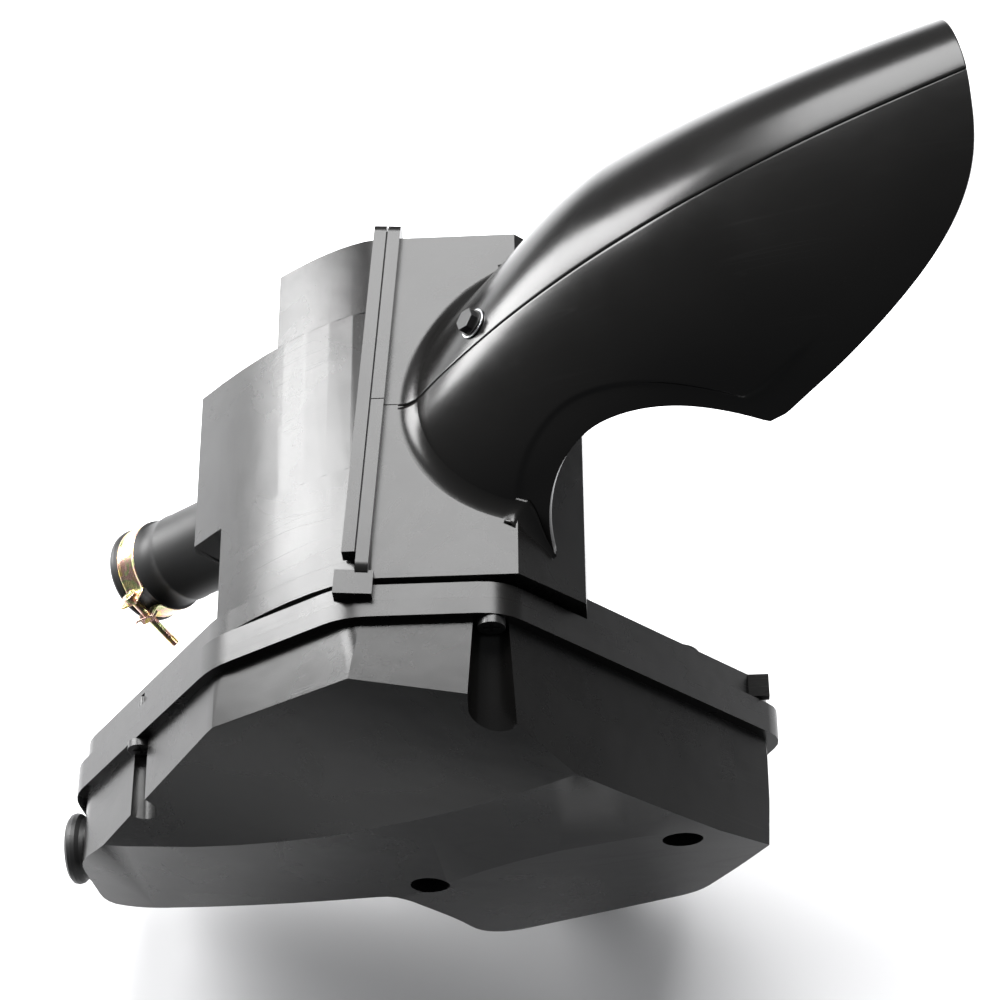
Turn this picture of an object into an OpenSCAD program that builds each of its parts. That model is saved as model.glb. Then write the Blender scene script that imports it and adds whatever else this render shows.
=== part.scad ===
// Air filter housing with splash guard, carburettor boot and hose clamp.
// X runs rearward, Y inboard (towards the crankcase), Z up.
// The origin is the inboard end of the front mounting collar.

/* [Overall] */
// Reach of the cover ahead of the front mounting bolt
front_reach = 180; // [165:1:215]
// Reach of the cover behind the front mounting bolt
rear_reach = 174; // [165:1:205]
// Height of the cover's top edge above the front mounting bolt
top_height = 186; // [176:1:223]
// Depth of the belly below the front mounting bolt
belly_drop = 88; // [74:1:105]
// Length of the tall case, from the flange to its inboard end
case_length = 200; // [167:1:240]
// Wall thickness of every moulded shell
wall = 2.5; // [2.1:0.1:3]

/* [Cover] */
// Depth of the outer cover, from the flange to its deepest line
cover_depth = 64; // [54:1:77]
// Radius of the gently curved outer face
face_r = 1700; // [1200:50:3000]
// Where along X the outer face is deepest
face_crest_x = 80; // [40:1:110]
// Depth of the upper shoulder, where the sloping panel starts
shoulder_depth = 36; // [28:1:46]
// Width of the flange lip outside the walls
lip = 5; // [4:0.5:7]
// Thickness of the flange lip
lip_t = 8; // [6:0.5:10]
// Height of the rim of the back case above the flange
rim_h = 22; // [18:1:28]

/* [Mounts] */
// Rearward distance between the two mounting bolts
mount_dx = 127; // [110:1:135]
// Height difference between the two mounting bolts
mount_dz = 51; // [42:1:58]
// Bore radius of the mounting collars, for an M6 bolt
collar_bore_r = 3.25; // [3.1:0.05:3.5]
// Outer radius of the mounting collars
collar_r = 6; // [5.5:0.25:7]
// Outer radius of the mounting grommets
grommet_r = 9.5; // [8.5:0.25:10]
// Radius of the bolt tunnels through the cover
tunnel_r = 10; // [9:0.5:11]
// Distance from the flange to the crankcase seat
seat_h = 38; // [34:1:44]

/* [Cover screws] */
// Radius of the screw heads
head_r = 6.5; // [5.5:0.25:7.5]
// Thickness of the screw heads
head_t = 4; // [3:0.5:5]
// Radius of the screw shanks
shank_r = 2.4; // [2:0.1:3]

/* [Tall case] */
// Height of the case's flat top above the cover's top edge
case_rise = 6; // [4:1:10]
// Reach of the tall case ahead of the front mounting bolt
case_front = 108; // [98:1:118]
// Reach of the tall case behind the front mounting bolt
case_rear = 85; // [72:1:90]
// Height of the case's underside above the front mounting bolt
case_floor = 56; // [50:1:62]
// Thickness of each lip of the joint between the case shells
joint_t = 6.4; // [5:0.2:8]
// Height of the joint lips above the panels
joint_h = 6; // [4:0.5:8]
// Distance from the crankcase seat to the joint between the two rear shells
split_y = 66; // [56:1:78]

/* [Boot and clamp] */
// Radius of the boot's bore, for the carburettor's inlet
boot_bore_r = 19; // [17:0.5:21]
// Wall of the boot
boot_wall = 4; // [3:0.25:5]
// Length of the boot outside the case
boot_len = 80; // [67:1:96]
// Width of the clamp band
band_w = 12; // [9:1:14]
// Thickness of the clamp band
band_t = 1; // [0.8:0.1:1.4]
// Radius of the clamp screw
clamp_screw_r = 2; // [1.8:0.1:2.4]
// Distance from the band to the clamp screw's axis
clamp_screw_up = 5.5; // [5:0.25:7]

/* [Splash guard] */
// Thickness of the guard
guard_t = 2.5; // [2.1:0.1:3]
// Distance of the tyre's axle behind the front mounting bolt
axle_x = 336; // [326:1:346]
// Height of the tyre's axle above the front mounting bolt
axle_z = 100; // [92:1:108]
// Radius of the guard's tip about the axle
guard_r = 258; // [252:1:268]
// How much farther the guard's root is from the axle
guard_root_extra = 82; // [76:1:86]
// Height of the guard's tip around the axle, in degrees above forward
guard_sweep = 73; // [61:1:80]

/* [Filter] */
// Thickness of the foam element
foam_t = 14; // [11:1:16]
// Distance between the bars of the filter grids
grid_pitch = 26; // [20:1:32]

/* [Hidden] */

$fn = 48;
eps = 0.02;
far = 600;

flange_y = -seat_h;
plate_y = flange_y + rim_h;
inboard_y = flange_y + case_length;
case_top = top_height + case_rise;
face_y = flange_y - cover_depth;
black = [0.09, 0.09, 0.09];
rubber = [0.05, 0.05, 0.05];
zinc = [0.80, 0.70, 0.42];
steel = [0.62, 0.63, 0.65];

// ---- Outline helpers; every outline is listed clockwise in X and Z ----

function unit(v) = v / norm(v);
function right_of(v) = [v.y, -v.x];
function around(p, i) = p[(i + len(p)) % len(p)];
// Moves every edge of an outline inward by d; a negative d moves it outward.
function inset(p, d) = [
    for (i = [0 : len(p) - 1])
        let (n1 = right_of(unit(p[i] - around(p, i - 1))),
             n2 = right_of(unit(around(p, i + 1) - p[i])))
        p[i] + d * (n1 + n2) / (1 + n1 * n2)
];
// Replaces every corner by a parabolic arc that starts r before it.
function softened(p, r, n = 4) = [
    for (i = [0 : len(p) - 1])
        let (to_a = around(p, i - 1) - p[i], to_c = around(p, i + 1) - p[i],
             a = p[i] + unit(to_a) * min(r, norm(to_a) * 0.45),
             c = p[i] + unit(to_c) * min(r, norm(to_c) * 0.45))
        for (k = [0 : n])
            let (t = k / n) (1 - t) * (1 - t) * a + 2 * t * (1 - t) * p[i] + t * t * c
];
// A plate between two Y positions, whose 2D outline holds X and Z.
module plate(y0, y1) {
    translate([0, y1, 0]) rotate([90, 0, 0]) linear_extrude(y1 - y0) children();
}
// A cylinder along Y.
module rod(x, z, r, y0, y1) {
    translate([x, y1, z]) rotate([90, 0, 0]) cylinder(r = r, h = y1 - y0);
}
// Everything on the far side of a plane through p, in the direction n.
module beyond(p, n) {
    translate(p) rotate([0, acos(n.z / norm(n)), atan2(n.y, n.x)])
        translate([-far, -far, 0]) cube([2 * far, 2 * far, far]);
}
// A tube along the local Z axis.
module tube(r_out, r_in, z0, z1) {
    translate([0, 0, z0]) difference() {
        cylinder(r = r_out, h = z1 - z0);
        translate([0, 0, -1]) cylinder(r = r_in, h = z1 - z0 + 2);
    }
}

// ---- Outline of the cover and of the rim that it closes ----

cover_outline = [
    [-front_reach, 0], [-front_reach + 40, 62], [-89, top_height - 46],
    [-24, top_height], [46, top_height],
    [rear_reach, 44], [rear_reach - 18, 4], [136, -36],
    [36, -belly_drop], [20, 4 - belly_drop],
    [10, -60], [-17, -14], [-front_reach + 25, -56], [-front_reach + 4, -55],
];
corner_r = 12;
// Screws in grooves: place in X and Z, direction of the groove's open side in degrees
groove_screws_at = [[42, top_height - 3, 90], [-front_reach + 41, 64, 147]];
// Screws in ears outside the lower walls, in X and Z
ear_screws_at = [[-118, -53], [103, -62], [152, -19]];
cover_screws_at = concat([for (g = groove_screws_at) [g.x, g.y]], ear_screws_at);
ear_r = 9;
mounts_at = [[0, 0], [mount_dx, mount_dz]];
screw_seat_y = flange_y - lip_t;

module outline_plate(y0, y1, d) {
    plate(y0, y1) polygon(softened(inset(cover_outline, d), corner_r));
}

// ---- Outer cover ----

shoulder_n = [-0.171, -1, 0.221];
facet_lean = 5;
ridge = unit([mount_dx, mount_dz]);
facet_n = [sin(facet_lean) * ridge.y, -cos(facet_lean), -sin(facet_lean) * ridge.x];
duct_z = -22;
duct_r = 14;
duct_lean = atan2(4, 55);
duct_at = [-front_reach - duct_z * 4 / 55, flange_y - 27, duct_z];
duct_seat = 0.4;
// Children stand on the end wall, with local Z outward along the duct.
module at_duct() {
    translate(duct_at) rotate([0, -90 - duct_lean, 0]) children();
}

// The groove that leads a driver to a cover screw; it widens and sinks
// towards its open outer end when flare and sink are more than 0.
module screw_groove(at, flare, sink, grow) {
    r = head_r + 1.5 + grow;
    depth = cover_depth;
    translate([at.x, screw_seat_y, at.y]) rotate([0, 90 - at.z, 0]) rotate([sink, 0, 0]) {
        // it starts inside the lip, whose outer face is the screw's seat
        rotate([90, 0, 0]) translate([0, 0, -3]) cylinder(r1 = r, r2 = r + flare, h = depth + 3);
        linear_extrude(40) polygon([[-r, 3], [r, 3], [r + flare, -depth], [-r - flare, -depth]]);
    }
}
// The whole cover as one solid, with each of its faces moved inward by grow.
module cover_body(grow, y_open) {
    difference() {
        intersection() {
            outline_plate(face_y - 1, y_open, grow);
            translate([face_crest_x, face_y + face_r, -far / 2])
                cylinder(r = face_r - grow, h = far, $fn = 360);
        }
        beyond([-12, flange_y - shoulder_depth, case_top] - grow * unit(shoulder_n), shoulder_n);
        beyond([0, face_y + 1.5, 0] - grow * facet_n, facet_n);
        // drafted walls on the upper side
        for (wall_line = [[46, 42, 9], [0, 90, 2.5], [-24, 125.5, 3]])
            let (n = [cos(wall_line[1]) * cos(wall_line[2]), -sin(wall_line[2]),
                      sin(wall_line[1]) * cos(wall_line[2])])
            beyond([wall_line[0], flange_y, top_height] - grow * n, n);
        screw_groove(groove_screws_at[0], 5, 14, grow);
        screw_groove(groove_screws_at[1], 1, 2, grow);
        for (m = mounts_at) rod(m.x, m.y, tunnel_r + grow, face_y - 5, flange_y + 5);
        if (grow > 0) for (at = groove_screws_at)
            rod(at.x, at.y, head_r + 1.5, screw_seat_y - wall, flange_y + 5);
    }
}
module outer_cover() {
    seal_y = flange_y - 3;
    color(black) difference() {
        union() {
            difference() {
                union() {
                    cover_body(0, flange_y);
                    outline_plate(screw_seat_y, flange_y, -lip);
                    for (at = ear_screws_at) rod(at.x, at.y, ear_r, screw_seat_y, flange_y);
                }
                cover_body(wall, flange_y + 1);
                // flat recess behind the duct's seat
                at_duct() translate([0, 0, -17]) cylinder(r = duct_r + 2.3, h = 17 - wall - 0.05);
            }
            at_duct() translate([0, 0, 0.15 - wall])
                cylinder(r = duct_r + 3.2, h = wall - 0.15 + duct_seat);
        }
        for (m = mounts_at) rod(m.x, m.y, tunnel_r, face_y - 5, flange_y + 5);
        for (at = cover_screws_at) rod(at.x, at.y, shank_r + 0.4, screw_seat_y - 1, flange_y + 1);
        // groove for the seal
        difference() {
            outline_plate(seal_y, flange_y + 1, -3.6);
            outline_plate(seal_y - 1, flange_y + 2, -0.8);
        }
        at_duct() cylinder(r = duct_r, h = 30, center = true);
    }
}
module cover_seal() {
    color(rubber) difference() {
        outline_plate(flange_y - 2.9, flange_y - 0.05, -3.5);
        outline_plate(flange_y - 4, flange_y + 1, -0.9);
        for (at = cover_screws_at) rod(at.x, at.y, shank_r + 0.4, screw_seat_y, flange_y + 1);
    }
}
module cover_screws() {
    color([0.12, 0.12, 0.12]) for (at = cover_screws_at) difference() {
        union() {
            rod(at.x, at.y, head_r, screw_seat_y - head_t, screw_seat_y - 0.05);
            rod(at.x, at.y, shank_r, screw_seat_y - 1, plate_y - wall - 3);
        }
        // recess for the driver
        translate([at.x, screw_seat_y - head_t, at.y]) {
            cube([2 * head_r * 0.6, 3, 1.6], center = true);
            cube([1.6, 3, 2 * head_r * 0.6], center = true);
        }
    }
}
module intake_duct() {
    seat = duct_seat + 0.1;
    color(rubber) at_duct() rotate_extrude()
        polygon([
            [duct_r - 3, -16], [duct_r + 2, -16], [duct_r + 2, -wall - 0.1],
            [duct_r - 0.1, -wall - 0.1], [duct_r - 0.1, seat], [duct_r + 1.5, seat],
            [duct_r + 2.3, 3], [duct_r + 4, 5], [duct_r + 4.5, 7], [duct_r + 4, 9],
            [duct_r + 2.3, 10.5], [duct_r, 11], [duct_r - 2, 10.5], [duct_r - 3, 9],
        ]);
}

// ---- Back case and tall case ----

roll_start = -12;
roll_drop = 74;
chamfer_x = -64;
chamfer_rise = 56;
tall_start_y = flange_y + 11;
step_low_y = -4 + seat_h;
step_high_y = inboard_y - 42;

// Height of the tall case's rolled front shoulder at x.
function roll_z(x) = case_top - roll_drop * pow((roll_start - x) / (roll_start + case_front), 1.5);
function chamfer_z(x) = case_floor + chamfer_rise * (chamfer_x - x) / (case_front + chamfer_x);
// Section of the tall case in X and Z, whose front wall lies at -front.
function tall_section(front) = concat(
    front > 70 ? [[chamfer_x, case_floor], [-front, chamfer_z(-front)]] : [[-front, case_floor]],
    [for (k = [0 : 8]) let (x = -front + (front + roll_start) * k / 8) [x, roll_z(x)]],
    [[55, case_top], [case_rear, case_top - 32], [case_rear, case_floor + 26], [60, case_floor]]
);
// The tall case as one solid, with each of its faces moved inward by grow.
module tall_body(grow, y_open) {
    lap = grow > 0 ? grow + eps : 0;
    plate(y_open, step_low_y + lap) polygon(inset(tall_section(92), grow));
    plate(step_low_y + grow, step_high_y - grow) polygon(inset(tall_section(case_front), grow));
    plate(step_high_y - lap, inboard_y - grow) polygon(inset(tall_section(64), grow));
}

// The joint between the front and rear shells stands in a plane that turns
// slightly rearward as it goes inboard.
joint_turn = 3.94;
joint_gap = 0.4;
joint_len = (inboard_y - tall_start_y) / cos(joint_turn);
module in_joint() {
    translate([-20, tall_start_y, 0]) rotate([0, 0, -joint_turn]) children();
}
// A plate in the joint plane between two local X positions, around the case's
// edge: it starts out outside the case and ends in inside its faces.
module joint_ring(x0, x1, out, in) {
    translate([x0, 0, 0]) rotate([90, 0, 90]) linear_extrude(x1 - x0) difference() {
        polygon(softened([[0, case_floor - out], [0, case_top + out],
            [joint_len + out, case_top + out], [joint_len + out, case_floor - out]], 6));
        translate([-1, case_floor + in])
            square([joint_len - in + 1, case_top - case_floor - 2 * in]);
    }
}
shell_screws_at = [[30, -5], [95, -5], [160, -5], [joint_len + 5, 34], [joint_len + 5, 96]];
module at_shell_screws() {
    for (p = shell_screws_at)
        translate([0, p.x, case_floor + p.y]) rotate([0, 90, 0]) children();
}
module half_space(side) {
    translate([side > 0 ? joint_gap : -far - joint_gap, -far, -far]) cube([far, 2 * far, 2 * far]);
}
// One half of the tall case, with its joint lip: side is -1 in front, 1 behind.
module tall_half(side) {
    lip_x0 = side > 0 ? joint_gap : -joint_t;
    difference() {
        union() {
            intersection() {
                difference() {
                    tall_body(0, tall_start_y);
                    tall_body(wall, tall_start_y - 1);
                }
                in_joint() half_space(side);
            }
            in_joint() joint_ring(lip_x0, lip_x0 + joint_t - joint_gap, joint_h, wall);
            in_joint() at_shell_screws()
                translate([0, 0, lip_x0]) cylinder(r = 5, h = joint_t - joint_gap);
        }
        in_joint() at_shell_screws()
            translate([0, 0, -far / 2]) cylinder(r = side > 0 ? 1.8 : 1.55, h = far);
    }
}

post_at = [[-122, 68], [-55, 148], [92, 116], [-60, -11]];
foam_y = plate_y - wall - 3.1;
retainer_y = foam_y - foam_t - 0.1;
retainer_t = 2.6;
nipple_at = [28, flange_y + 13, -belly_drop];

module main_case() {
    color(black) difference() {
        union() {
            outline_plate(flange_y, plate_y, -1);
            outline_plate(flange_y, flange_y + 8, -lip);
            for (at = ear_screws_at) rod(at.x, at.y, ear_r, flange_y, flange_y + 8);
            // skirt that carries the tall case's outline down to the rim
            plate(tall_start_y, plate_y) polygon(tall_section(92));
            for (m = mounts_at) rod(m.x, m.y, grommet_r + 3, flange_y, -1.5);
            difference() {
                tall_half(1);
                translate([-far, split_y - 0.25, -far]) cube(2 * far);
            }
            // block over the lower end of the shell joint
            in_joint() translate([-9, -9.5, case_top - 12]) cube([18, 12, 12 + joint_h - 2]);
            // locating tab at the rear end
            translate([rear_reach - 15, flange_y + 10, 53]) cube([14, 12, 5]);
            // drain nipple
            translate(nipple_at + [0, 0, 8]) rotate([180, 0, 0]) cylinder(r = 5, h = 23);
        }
        difference() {
            outline_plate(flange_y - 1, plate_y - wall, wall - 1);
            for (at = groove_screws_at) rod(at.x, at.y, 6, flange_y - 2, plate_y);
            for (m = mounts_at) rod(m.x, m.y, grommet_r + 3, flange_y - 2, plate_y);
            for (p = post_at) rod(p.x, p.y, 4, retainer_y, plate_y);
        }
        tall_body(wall, plate_y);
        // the air opening that the filter covers
        plate(plate_y - wall - 1, plate_y + 1) intersection() {
            polygon(inset(foam_outline, 9));
            polygon(inset(tall_section(92), wall));
        }
        for (m = mounts_at) rod(m.x, m.y, grommet_r, flange_y - 1, 1);
        for (at = cover_screws_at) rod(at.x, at.y, shank_r + 0.05, flange_y - 1, plate_y - wall - 1);
        for (p = post_at) rod(p.x, p.y, 1.6, retainer_y - 1, plate_y - wall - 1);
        translate(nipple_at + [0, 0, 9]) rotate([180, 0, 0]) cylinder(r = 3, h = 30);
    }
}
module rear_upper_shell() {
    tongue = 5;
    color(black) union() {
        difference() {
            tall_half(1);
            translate([-far, split_y + 0.25 - 2 * far, -far]) cube(2 * far);
        }
        // tongue inside the lower shell
        intersection() {
            difference() {
                union() {
                    plate(split_y - tongue, split_y + tongue)
                        polygon(inset(tall_section(case_front), wall + 0.1));
                    plate(split_y + 1, split_y + tongue)
                        polygon(inset(tall_section(case_front), wall - 0.5));
                }
                plate(split_y - tongue - 1, split_y + tongue + 1)
                    polygon(inset(tall_section(case_front), 2 * wall));
            }
            in_joint() translate([joint_t + 1, -far, -far]) cube([far, 2 * far, 2 * far]);
        }
    }
}
module front_shell() {
    color(black) difference() {
        intersection() {
            tall_half(-1);
            translate([-far, plate_y + 0.05, -far]) cube(2 * far);
        }
        at_port() translate([0, 0, -6]) cylinder(r = port_r, h = 12);
    }
}
module shell_seal() {
    color(rubber) in_joint() difference() {
        intersection() {
            joint_ring(-joint_gap + 0.02, joint_gap - 0.02, joint_h - 2, wall);
            translate([-10, plate_y - tall_start_y + 1, -far]) cube([20, far, 2 * far]);
        }
        at_shell_screws() translate([0, 0, -5]) cylinder(r = 5.2, h = 10);
    }
}
module shell_screws() {
    color(steel) in_joint() at_shell_screws() difference() {
        union() {
            translate([0, 0, joint_t + 0.05]) cylinder(r = 3.2, h = 2.2);
            translate([0, 0, -joint_t - 2]) cylinder(r = 1.5, h = 2 * joint_t + 3);
        }
        translate([0, 0, joint_t + 2.25]) {
            cube([4, 0.9, 2], center = true);
            cube([0.9, 4, 2], center = true);
        }
    }
}

// ---- Splash guard ----
// The guard is swept around the tyre's axle. s runs from 0 at its root on the
// case to 1 at its tip; l is the distance across it from the parting line, in
// mm, positive towards the outer lower edge; d is the depth below its skin.

guard_root_angle = 17;
guard_mid_y = flange_y + 104;
guard_tip_s = 0.99;
face_end = 62;
notch_s = 0.2;
notch_l = 67;
corner_s = 0.46;
corner_l = 108;

function mix(a, b, t) = a + (b - a) * t;
function clamp01(t) = max(0, min(1, t));
function ease(t) = let (c = clamp01(t)) c * c * (3 - 2 * c);
function crest_r(s) = guard_r + guard_root_extra * pow(clamp01(1 - s), 1.7);
function crest_y(s) = guard_mid_y + 64 * s;
function part_angle(s) = 15 * ease(3 * s);
function inner_r(s) = mix(86, 42, pow(clamp01(s), 0.7));
function outer_r(s) = mix(66, 140, ease(1.2 * s));
function guard_point(s, l, d) = let (
        turn = mix(guard_root_angle, guard_sweep, s),
        a0 = part_angle(s),
        r = l >= 0 ? outer_r(s) : inner_r(s),
        arc = r * (face_end - a0) * PI / 180,
        a = a0 + min(l, arc) / r * 180 / PI,
        ext = max(0, l - arc),
        y = crest_y(s) + r * sin(a0) - (r - d) * sin(a) - ext * cos(a),
        q = crest_r(s) - r * cos(a0) + (r - d) * cos(a) - ext * sin(a))
    [axle_x - q * cos(turn), y, axle_z + q * sin(turn)];
// The lower edge of the outer face, and the tip's edge, as functions of s.
function low_edge(s) = notch_l + 41 * pow(abs(s - notch_s) / 0.22, 1.8);
function tip_edge(s) = corner_l * pow(clamp01((guard_tip_s - s) / (guard_tip_s - corner_s)), 0.3);
function outer_width(s) = max(4, min(low_edge(s), tip_edge(s), corner_l + 8));
// How far along the sweep the inboard part reaches at l < 0.
function inner_tip(l) = guard_tip_s - 0.08 * pow(-l / 69, 1.5);
function inner_width(s) = mix(96, 104, s);

// A closed thin solid from two grids of points, outer skin and inner skin.
module thin_shell(outer, inner) {
    rows = len(outer);
    cols = len(outer[0]);
    n = rows * cols;
    function id(i, j, k) = k * n + i * cols + j;
    function quad(a, b, c, e) = [[a, b, c], [a, c, e]];
    points = concat([for (r = outer) each r], [for (r = inner) each r]);
    faces = concat(
        [for (i = [0 : rows - 2]) for (j = [0 : cols - 2]) each concat(
            quad(id(i, j, 0), id(i, j + 1, 0), id(i + 1, j + 1, 0), id(i + 1, j, 0)),
            quad(id(i, j, 1), id(i + 1, j, 1), id(i + 1, j + 1, 1), id(i, j + 1, 1)))],
        [for (i = [0 : rows - 2]) each concat(
            quad(id(i, 0, 0), id(i + 1, 0, 0), id(i + 1, 0, 1), id(i, 0, 1)),
            quad(id(i, cols - 1, 0), id(i, cols - 1, 1), id(i + 1, cols - 1, 1), id(i + 1, cols - 1, 0)))],
        [for (j = [0 : cols - 2]) each concat(
            quad(id(0, j, 0), id(0, j, 1), id(0, j + 1, 1), id(0, j + 1, 0)),
            quad(id(rows - 1, j, 0), id(rows - 1, j + 1, 0), id(rows - 1, j + 1, 1), id(rows - 1, j, 1)))]);
    polyhedron(points, faces, convexity = 6);
}
guard_rows = 34;
guard_cols = 9;
guard_start_s = -0.12;
// Rows crowd towards the tip, where the edge turns fastest.
function row_s(i) = guard_tip_s - (guard_tip_s - guard_start_s) * pow(1 - i / guard_rows, 1.5);
function lower_grid(d) = [for (i = [0 : guard_rows]) let (s = row_s(i))
    [for (j = [0 : guard_cols]) guard_point(s, outer_width(s) * j / guard_cols, d)]];
function upper_grid(d) = [for (i = [0 : guard_rows])
    [for (j = [0 : guard_cols]) let (
            t = j / guard_cols,
            s = mix(guard_start_s, inner_tip(-100 * (1 - t)), i / guard_rows))
        guard_point(s, -0.6 - inner_width(s) * (1 - t), d)]];
// The overlap tab of the lower half, under the upper half at the bolt.
function tab_grid(k) = [for (i = [0 : 4]) [for (j = [0 : 6]) let (l = mix(-26, 9, j / 6))
    guard_point(mix(0.05, 0.17, i / 4), l,
        k == 1 ? 2 * guard_t + 0.5 : l > 0 ? guard_t - 0.4 : guard_t + 0.3)]];

bolt_s = 0.11;
bolt_l = -13;
bolt_out = guard_point(bolt_s, bolt_l, 0);
bolt_n = unit(cross(
    guard_point(bolt_s, bolt_l + 1, 0) - guard_point(bolt_s, bolt_l - 1, 0),
    guard_point(bolt_s + 0.01, bolt_l, 0) - guard_point(bolt_s - 0.01, bolt_l, 0)));
bolt_r = 3;
// Children stand on the guard's skin at the bolt, with local Z outward.
module at_bolt() {
    translate(bolt_out) rotate([0, acos(bolt_n.z), atan2(bolt_n.y, bolt_n.x)]) children();
}
module guard_lower() {
    color(black) difference() {
        union() {
            thin_shell(lower_grid(0), lower_grid(guard_t));
            thin_shell(tab_grid(0), tab_grid(1));
        }
        tall_body(wall - 0.6, tall_start_y - 5);
        translate([-far, -far, -far]) cube([2 * far, far + plate_y - 1, 2 * far]);
        at_bolt() translate([0, 0, -20]) cylinder(r = bolt_r + 0.3, h = 30);
    }
}
module guard_upper() {
    color(black) difference() {
        thin_shell(upper_grid(0), upper_grid(guard_t));
        tall_body(wall - 0.6, tall_start_y - 5);
        at_bolt() translate([0, 0, -20]) cylinder(r = bolt_r + 0.3, h = 30);
    }
}
module guard_bolt() {
    color([0.14, 0.14, 0.14]) at_bolt() {
        translate([0, 0, 1.8]) cylinder(r = 5.8, h = 4, $fn = 6);
        translate([0, 0, 1]) cylinder(r = 6.6, h = 0.9);
        translate([0, 0, -15]) cylinder(r = bolt_r, h = 17);
    }
}
module guard_washer() {
    color(steel) at_bolt() tube(7.5, bolt_r + 0.2, 0.15, 0.95);
}
module guard_nut() {
    color(steel) at_bolt() difference() {
        translate([0, 0, -2 * guard_t - 5.8]) cylinder(r = 5.8, h = 5, $fn = 6);
        translate([0, 0, -20]) cylinder(r = bolt_r + 0.02, h = 30);
    }
}

// ---- Filter ----

foam_outline = [
    [-150, -4], [-84, 114], [-22, top_height - 28], [40, top_height - 28],
    [118, 68], [102, 58], [0, 27], [-20, 21], [-122, -16],
];
grid_bar = 3;
// The face of a filter grid in X and Z.
module grid_face() {
    difference() {
        polygon(foam_outline);
        polygon(inset(foam_outline, 6));
    }
    intersection() {
        polygon(foam_outline);
        union() {
            for (x = [-140 : grid_pitch : 120]) translate([x, -60]) square([grid_bar, 400]);
            for (z = [0 : grid_pitch : 190]) translate([-200, z]) square([400, grid_bar]);
        }
    }
}
module filter_frame() {
    color([0.16, 0.16, 0.17]) plate(foam_y + 0.1, plate_y - wall - 0.05) grid_face();
}
module filter_foam() {
    color([0.25, 0.24, 0.22]) plate(foam_y - foam_t, foam_y) polygon(inset(foam_outline, 1.5));
}
module filter_retainer() {
    color([0.16, 0.16, 0.17]) difference() {
        union() {
            plate(retainer_y - retainer_t, retainer_y - 0.05) grid_face();
            for (p = post_at) {
                rod(p.x, p.y, 5.5, retainer_y - retainer_t, retainer_y - 0.05);
                // arm from the grid's edge to the post, thinner than both
                translate([p.x, retainer_y - retainer_t + 0.5, p.y])
                    rotate([0, -atan2(60 - p.y, -20 - p.x), 0])
                    translate([2.5, 0, -3]) cube([24, retainer_t - 1.05, 6]);
            }
        }
        for (p = post_at) rod(p.x, p.y, 1.9, retainer_y - 10, retainer_y + 5);
    }
}
module retainer_screws() {
    color(steel) for (p = post_at) difference() {
        union() {
            rod(p.x, p.y, 3.6, retainer_y - retainer_t - 2.4, retainer_y - retainer_t - 0.05);
            rod(p.x, p.y, 1.55, retainer_y - retainer_t - 1, plate_y - wall - 4);
        }
        translate([p.x, retainer_y - retainer_t - 2.4, p.y]) {
            cube([4.4, 2.4, 0.9], center = true);
            cube([0.9, 2.4, 4.4], center = true);
        }
    }
}

// ---- Mounts ----

module at_mounts() {
    for (m = mounts_at) translate([m.x, 0, m.y]) rotate([90, 0, 0]) children();
}
module mount_grommets() {
    color(rubber) at_mounts() {
        tube(grommet_r - 0.02, collar_r + 0.02, 1.45, seat_h - 0.5);
        tube(grommet_r + 3, collar_r + 0.02, 0.1, 1.45);
    }
}
module mount_collars() {
    color(steel) at_mounts() tube(collar_r, collar_bore_r, 0, seat_h - 0.2);
}

// ---- Carburettor boot and hose clamp ----

port_from = [chamfer_x, case_floor];
port_to = [-case_front, chamfer_z(-case_front)];
port_mid = (port_from + port_to) / 2;
port_n = unit([port_from.y - port_to.y, port_to.x - port_from.x]);
port_y = step_low_y + 30;
port_r = boot_bore_r + boot_wall - 1;
ear_turn = 24;
// Children stand on the port, with local Z along the boot.
module at_port() {
    translate([port_mid.x, port_y, port_mid.y])
        rotate([0, acos(port_n.y), 180]) children();
}
boot_r = boot_bore_r + boot_wall;
band_z = boot_len - 12;
ear_in = 4.2;
ear_t = 1.3;
ear_h = 11;
clamp_screw_y = boot_r + band_t + clamp_screw_up;

module carb_boot() {
    color(rubber) at_port() rotate_extrude() polygon([
        [boot_bore_r - 2, -7], [port_r + 5, -7], [port_r + 6, -4], [port_r + 5, -wall - 0.1],
        [port_r - 0.1, -wall - 0.1], [port_r - 0.1, 0.15],
        [boot_r + 4, 0.15], [boot_r + 4, 4], [boot_r + 1, 6], [boot_r, 10],
        [boot_r, boot_len - 4.6], [boot_r + 1.6, boot_len - 4], [boot_r + 2.2, boot_len - 2.4],
        [boot_r + 1.6, boot_len - 0.8], [boot_r, boot_len], [boot_bore_r, boot_len],
        [boot_bore_r, boot_len - 26], [boot_bore_r - 2, boot_len - 29],
    ]);
}
module boot_ring() {
    color(steel) at_port() tube(boot_bore_r - 2.02, boot_bore_r - 3.2, -6, 5);
}
module at_clamp() {
    at_port() translate([0, 0, band_z]) rotate([0, 0, ear_turn]) children();
}
module clamp_band() {
    color(zinc) at_clamp() difference() {
        union() {
            difference() {
                tube(boot_r + band_t + 0.02, boot_r + 0.02, -band_w / 2, band_w / 2);
                translate([-ear_in, 0, -band_w]) cube([2 * ear_in, 2 * boot_r, 2 * band_w]);
            }
            for (side = [-1, 1])
                translate([side > 0 ? ear_in : -ear_in - ear_t, boot_r + 0.1, -band_w / 2])
                    cube([ear_t, ear_h - 0.1, band_w]);
        }
        translate([-30, clamp_screw_y, 0]) rotate([0, 90, 0]) cylinder(r = clamp_screw_r + 0.4, h = 60);
    }
}
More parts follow.
